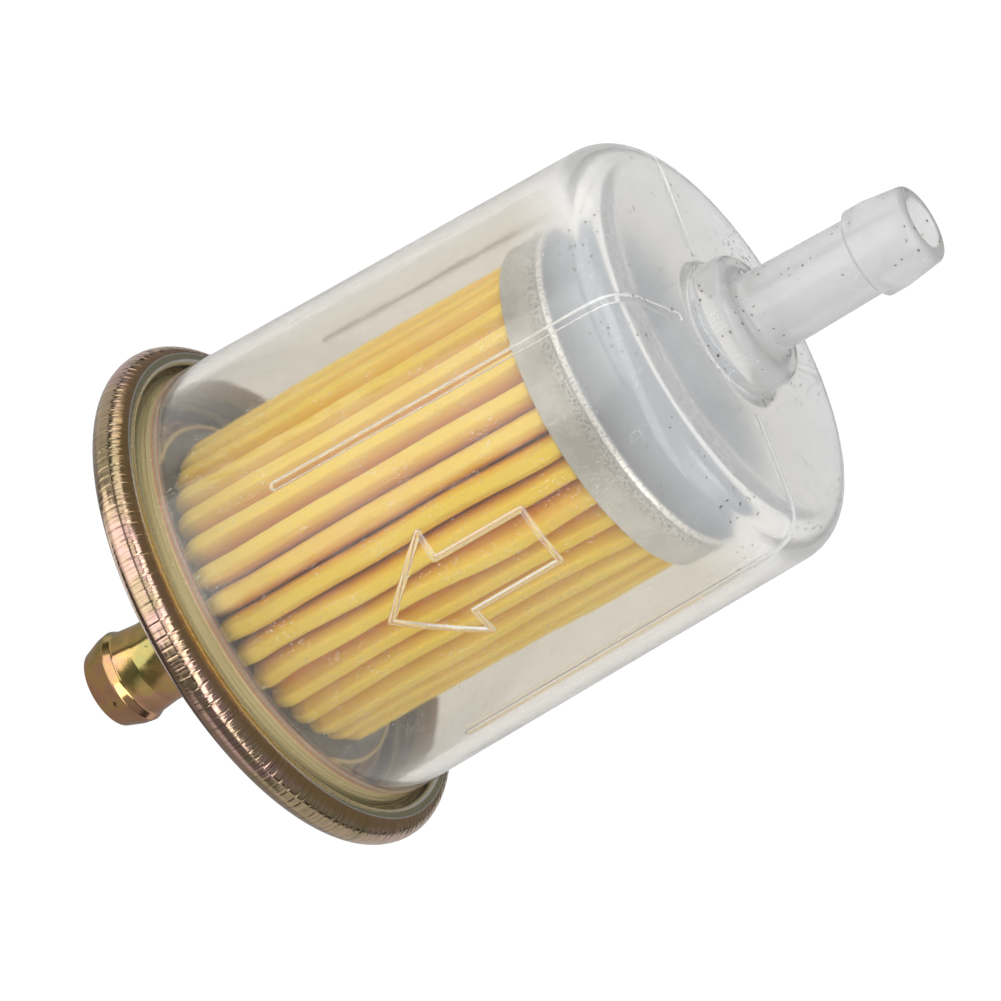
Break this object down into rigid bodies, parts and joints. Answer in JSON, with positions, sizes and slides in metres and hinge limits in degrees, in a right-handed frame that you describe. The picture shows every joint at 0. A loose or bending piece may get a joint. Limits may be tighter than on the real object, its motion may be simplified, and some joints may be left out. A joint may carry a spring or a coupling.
{
  "type": "fuel filter",
  "caption": "In-line fuel filter: a clear plastic bowl with a barbed inlet, crimped to a plated steel base with a beaded outlet tube, around a pleated paper element.",
  "frame": {"origin": "on the filter's axis, at the middle of its overall length from outlet tip to inlet tip", "axes": "+Z runs along the filter towards the tip of the inlet barb; -Y is the side of the bowl that carries the flow arrow; +X is to the right when the arrow side faces the viewer"},
  "size_m": [0.0526, 0.0526, 0.0944],
  "materials": {
    "clear_plastic": "translucent milky, slightly worn",
    "plated_steel": "yellow zinc plating with iridescent stains",
    "plated_steel_tube": "yellow zinc plating, smooth",
    "gasket_rubber": "matt, tan",
    "filter_paper": "resin-dipped pleated paper",
    "tube_steel": "plain zinc",
    "cap_steel": "bright zinc, satin",
    "potting": "set adhesive, dark"
  },
  "bodies": {
    "root": {"bowl": "clear_plastic", "base_pan": "plated_steel", "outlet_stem": "plated_steel_tube", "bowl_gasket": "gasket_rubber", "pleated_paper": "filter_paper", "center_tube": "tube_steel", "upper_end_cap": "cap_steel", "lower_end_cap": "cap_steel", "upper_potting": "potting", "lower_potting": "potting", "outlet_grommet": "gasket_rubber"}
  },
  "joints": []
}
